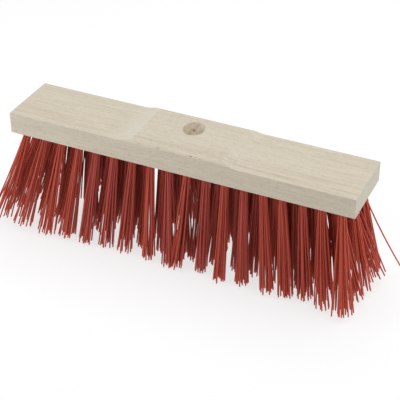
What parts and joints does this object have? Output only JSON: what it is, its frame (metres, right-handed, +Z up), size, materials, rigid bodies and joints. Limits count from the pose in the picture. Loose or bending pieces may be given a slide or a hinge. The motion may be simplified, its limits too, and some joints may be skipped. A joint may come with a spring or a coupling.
{
  "type": "push broom head",
  "caption": "Beech broom board with a raised middle and slanted handle socket, and staggered rows of stiff red bristle tufts that spring back when bent.",
  "frame": {"origin": "on the floor under the middle of the board, in the plane of the bristle tips", "axes": "+X along the board, +Y to the back, the way the handle socket leans, +Z up"},
  "size_m": [0.4524, 0.108, 0.145],
  "materials": {
    "beech": "matte",
    "bristle": "satin",
    "anchor_wire": "satin"
  },
  "bodies": {
    "block": {"board": "beech"},
    "row_1": {"row_1_tuft_01": "bristle", "row_1_tuft_02": "bristle", "row_1_tuft_03": "bristle", "row_1_tuft_04": "bristle", "row_1_tuft_05": "bristle", "row_1_tuft_06": "bristle", "row_1_tuft_07": "bristle", "row_1_tuft_08": "bristle", "row_1_tuft_09": "bristle", "row_1_tuft_10": "bristle", "row_1_tuft_11": "bristle", "row_1_tuft_12": "bristle", "row_1_tuft_13": "bristle", "row_1_tuft_14": "bristle", "row_1_tuft_15": "bristle", "row_1_tuft_16": "bristle", "row_1_tuft_17": "bristle", "row_1_tuft_18": "bristle"},
    "row_2": {"row_2_tufts_01_to_03": "bristle", "row_2_tufts_04_to_06": "bristle", "row_2_tufts_07_to_09": "bristle", "row_2_tufts_10_to_12": "bristle", "row_2_tufts_13_to_15": "bristle", "row_2_tufts_16_to_17": "bristle"},
    "row_3": {"row_3_tufts_01_to_03": "bristle", "row_3_tufts_04_to_06": "bristle", "row_3_tufts_07_to_08": "bristle", "row_3_tufts_09_to_11": "bristle", "row_3_tufts_12_to_14": "bristle", "row_3_tufts_15_to_16": "bristle"},
    "row_4": {"row_4_tufts_01_to_03": "bristle", "row_4_tufts_04_to_06": "bristle", "row_4_tufts_07_to_08": "bristle", "row_4_tufts_09_to_11": "bristle", "row_4_tufts_12_to_14": "bristle", "row_4_tufts_15_to_16": "bristle"},
    "row_5": {"row_5_tuft_01": "bristle", "row_5_tuft_02": "bristle", "row_5_tuft_03": "bristle", "row_5_tuft_04": "bristle", "row_5_tuft_05": "bristle", "row_5_tuft_06": "bristle", "row_5_tuft_07": "bristle", "row_5_tuft_08": "bristle", "row_5_tuft_09": "bristle", "row_5_tuft_10": "bristle", "row_5_tuft_11": "bristle", "row_5_tuft_12": "bristle", "row_5_tuft_13": "bristle", "row_5_tuft_14": "bristle", "row_5_tuft_15": "bristle", "row_5_tuft_16": "bristle", "row_5_tuft_17": "bristle", "row_5_tuft_18": "bristle"}
  },
  "joints": [
    {"name": "row_1_bend", "type": "hinge", "parent": "block", "child": "row_1", "pos_m": [0, -0.029, 0.117], "axis": [1, 0, 0], "range_deg": [-20, 20], "stiffness_Nm_per_rad": 4},
    {"name": "row_2_bend", "type": "hinge", "parent": "block", "child": "row_2", "pos_m": [0, -0.0145, 0.117], "axis": [1, 0, 0], "range_deg": [-20, 20], "stiffness_Nm_per_rad": 4},
    {"name": "row_3_bend", "type": "hinge", "parent": "block", "child": "row_3", "pos_m": [0, 0, 0.117], "axis": [1, 0, 0], "range_deg": [-20, 20], "stiffness_Nm_per_rad": 4},
    {"name": "row_4_bend", "type": "hinge", "parent": "block", "child": "row_4", "pos_m": [0, 0.0145, 0.117], "axis": [1, 0, 0], "range_deg": [-20, 20], "stiffness_Nm_per_rad": 4},
    {"name": "row_5_bend", "type": "hinge", "parent": "block", "child": "row_5", "pos_m": [0, 0.029, 0.117], "axis": [1, 0, 0], "range_deg": [-20, 20], "stiffness_Nm_per_rad": 4}
  ],
  "couplings": [
    {"joint": "row_2_bend", "follows": "row_1_bend", "ratio": 1},
    {"joint": "row_3_bend", "follows": "row_1_bend", "ratio": 1},
    {"joint": "row_4_bend", "follows": "row_1_bend", "ratio": 1},
    {"joint": "row_5_bend", "follows": "row_1_bend", "ratio": 1}
  ]
}
